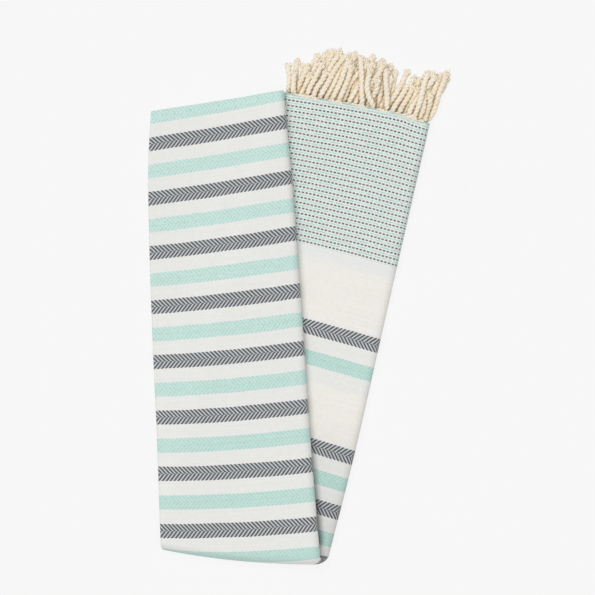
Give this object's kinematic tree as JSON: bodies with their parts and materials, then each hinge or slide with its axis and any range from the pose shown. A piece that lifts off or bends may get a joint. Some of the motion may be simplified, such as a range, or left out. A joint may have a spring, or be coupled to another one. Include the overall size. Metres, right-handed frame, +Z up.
{
  "type": "hammam towel",
  "caption": "Flat-woven striped hammam towel with a fringe of twisted strands, folded to a narrow strip and bent back over itself, lying flat.",
  "frame": {"origin": "middle of the folded towel's footprint, on the surface it lies on", "axes": "+Z up from that surface, +Y along the folded towel from its bend towards its fringe, +X to the right seen from above"},
  "size_m": [0.2866, 0.4987, 0.029],
  "materials": {
    "cloth": "matt",
    "fringe": "matt"
  },
  "bodies": {
    "root": {"towel_cloth": "cloth", "fringe_first_end": "fringe", "fringe_second_end": "fringe"}
  },
  "joints": []
}
